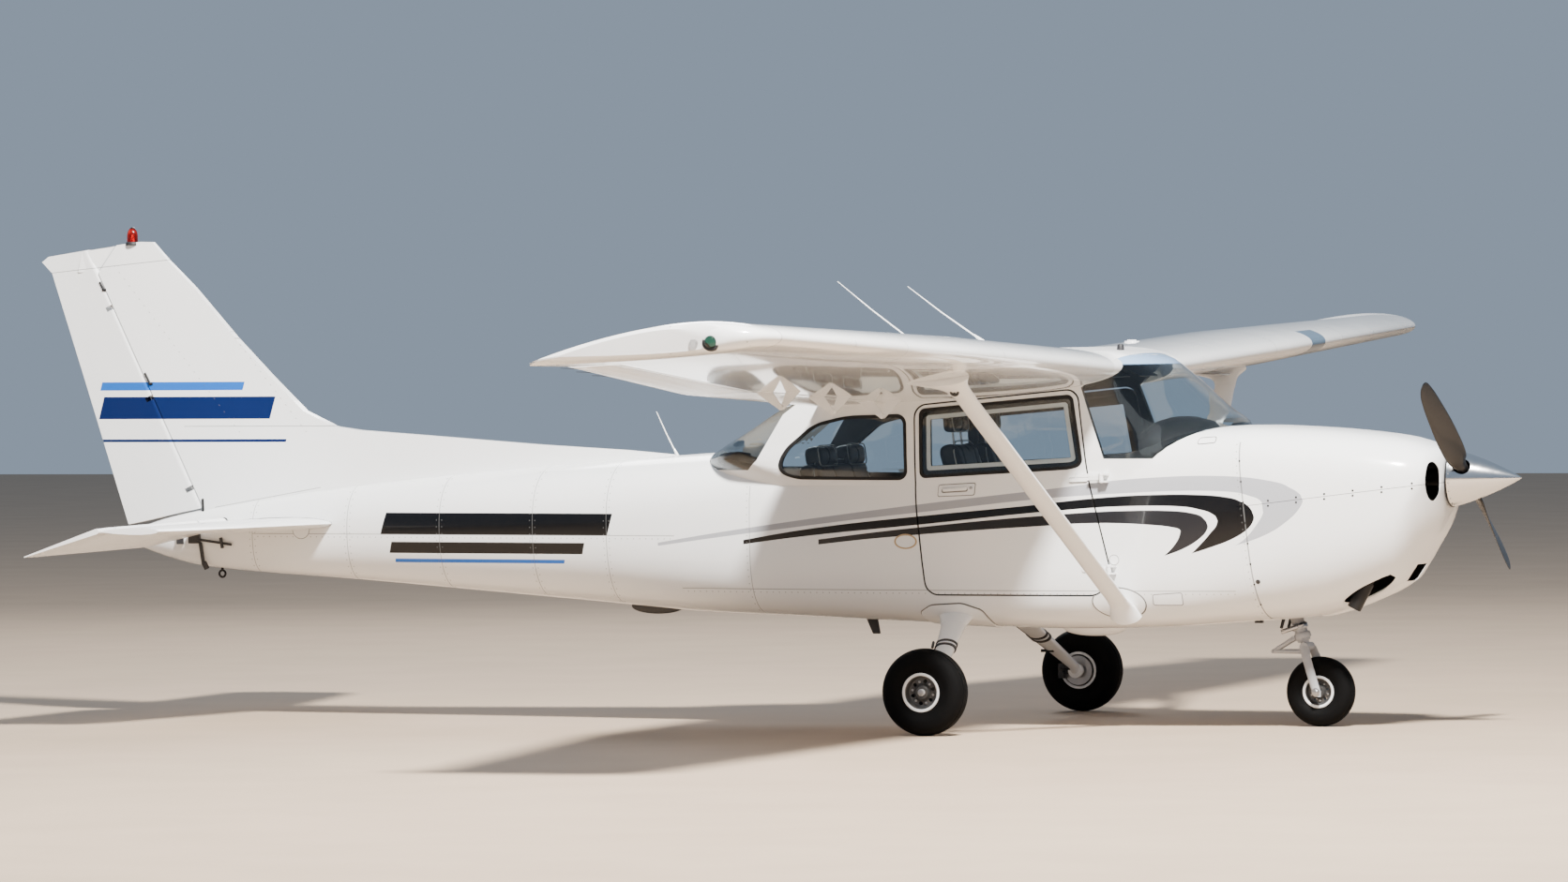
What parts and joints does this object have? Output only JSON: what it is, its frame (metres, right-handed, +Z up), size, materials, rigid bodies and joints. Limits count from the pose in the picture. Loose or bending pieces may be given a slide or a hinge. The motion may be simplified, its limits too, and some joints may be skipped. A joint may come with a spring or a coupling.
{
  "type": "light aircraft",
  "caption": "Full-size four-seat light aircraft with a strut-braced high wing, nose engine, hinged doors and controls, and fixed tricycle gear, white with grey and black stripes.",
  "frame": {"origin": "on the ground under the middle of the length and the span", "axes": "+X to the nose, +Y to port, +Z up; the aircraft stands nose-up on its gear as it parks"},
  "size_m": [8.29, 11, 2.6397],
  "materials": {
    "white_paint": "gloss",
    "glass": "polished",
    "tyre": "matte",
    "wheel_metal": "satin",
    "seat_cloth": "matte",
    "carpet": "matte",
    "interior_plastic": "matte",
    "engine_metal": "satin",
    "gear_steel": "satin",
    "gear_paint": "gloss",
    "spinner_metal": "polished",
    "propeller_paint": "satin",
    "beacon_lens": "gloss"
  },
  "bodies": {
    "airframe": {"cabin_shell": "white_paint", "cabin_floor": "carpet", "windshield": "glass", "rear_window": "glass", "side_window_starboard": "glass", "side_window_port": "glass", "instrument_panel": "interior_plastic", "control_yoke_starboard": "interior_plastic", "control_yoke_port": "interior_plastic", "front_seat_starboard": "seat_cloth", "front_seat_port": "seat_cloth", "rear_seat": "seat_cloth", "tail_cone": "white_paint", "fin": "white_paint", "beacon": "beacon_lens", "stabiliser": "white_paint", "cowl_upper": "white_paint", "cowl_lower": "white_paint", "engine_block": "engine_metal", "exhaust_pipe": "engine_metal", "wing_starboard": "white_paint", "wing_port": "white_paint", "strut_starboard": "white_paint", "strut_port": "white_paint", "main_leg_starboard": "gear_paint", "main_leg_port": "gear_paint", "nose_leg": "gear_steel"},
    "propeller": {"propeller": "propeller_paint", "spinner": "spinner_metal"},
    "main_wheel_starboard": {"main_wheel_starboard": "wheel_metal", "main_tyre_starboard": "tyre"},
    "main_wheel_port": {"main_wheel_port": "wheel_metal", "main_tyre_port": "tyre"},
    "nose_fork": {"nose_fork": "gear_steel"},
    "nose_wheel": {"nose_wheel": "wheel_metal", "nose_tyre": "tyre"},
    "door_starboard": {"door_starboard": "white_paint", "door_glass_starboard": "glass"},
    "door_port": {"door_port": "white_paint", "door_glass_port": "glass"},
    "baggage_door": {"baggage_door": "white_paint"},
    "rudder": {"rudder": "white_paint"},
    "elevator": {"elevator": "white_paint"},
    "aileron_starboard": {"aileron_starboard": "white_paint"},
    "aileron_port": {"aileron_port": "white_paint"},
    "flap_starboard": {"flap_starboard": "white_paint"},
    "flap_port": {"flap_port": "white_paint"}
  },
  "joints": [
    {"name": "propeller_spin", "type": "hinge", "parent": "airframe", "child": "propeller", "pos_m": [3.85, 0, 1.278], "axis": [1, 0, 0], "continuous": true},
    {"name": "main_wheel_spin_starboard", "type": "hinge", "parent": "airframe", "child": "main_wheel_starboard", "pos_m": [1.36, -1.276, 0.222], "axis": [0, 1, 0], "continuous": true},
    {"name": "main_wheel_spin_port", "type": "hinge", "parent": "airframe", "child": "main_wheel_port", "pos_m": [1.36, 1.276, 0.222], "axis": [0, 1, 0], "continuous": true},
    {"name": "nose_steering", "type": "hinge", "parent": "airframe", "child": "nose_fork", "pos_m": [2.98, 0, 0.44], "axis": [-0.3195, 0, 0.9476], "range_deg": [-30, 30]},
    {"name": "nose_wheel_spin", "type": "hinge", "parent": "nose_fork", "child": "nose_wheel", "pos_m": [3.068, 0, 0.18], "axis": [0, 1, 0], "continuous": true},
    {"name": "door_hinge_starboard", "type": "hinge", "parent": "airframe", "child": "door_starboard", "pos_m": [2.09, -0.56, 1.05], "axis": [-0.0802, 0, 0.9968], "range_deg": [0, 75]},
    {"name": "door_hinge_port", "type": "hinge", "parent": "airframe", "child": "door_port", "pos_m": [2.09, 0.56, 1.05], "axis": [0.0802, 0, -0.9968], "range_deg": [0, 75]},
    {"name": "baggage_door_hinge", "type": "hinge", "parent": "airframe", "child": "baggage_door", "pos_m": [0.646, 0.536, 0.98], "axis": [0, 0, -1], "range_deg": [0, 85]},
    {"name": "rudder_pivot", "type": "hinge", "parent": "airframe", "child": "rudder", "pos_m": [-3.21, 0, 1.1], "axis": [-0.4339, 0, 0.9009], "range_deg": [-20, 20]},
    {"name": "elevator_pivot", "type": "hinge", "parent": "airframe", "child": "elevator", "pos_m": [-3.04, 0, 1.04], "axis": [0, 1, 0], "range_deg": [0, 46]},
    {"name": "aileron_pivot_starboard", "type": "hinge", "parent": "airframe", "child": "aileron_starboard", "pos_m": [0.88715, -2.55, 1.81429], "axis": [-0.1315, 0.99, -0.0512], "range_deg": [-18, 18]},
    {"name": "aileron_pivot_port", "type": "hinge", "parent": "airframe", "child": "aileron_port", "pos_m": [0.88715, 2.55, 1.81429], "axis": [0.1315, 0.99, 0.0512], "range_deg": [-18, 18]},
    {"name": "flap_pivot_starboard", "type": "hinge", "parent": "airframe", "child": "flap_starboard", "pos_m": [0.96934, -0.6, 1.6051], "axis": [0.0121, -0.999, 0.0423], "range_deg": [0, 30]},
    {"name": "flap_pivot_port", "type": "hinge", "parent": "airframe", "child": "flap_port", "pos_m": [0.96934, 0.6, 1.6051], "axis": [-0.0121, -0.999, -0.0423], "range_deg": [0, 30]}
  ],
  "couplings": [
    {"joint": "aileron_pivot_port", "follows": "aileron_pivot_starboard", "ratio": -1},
    {"joint": "flap_pivot_port", "follows": "flap_pivot_starboard", "ratio": 1}
  ]
}
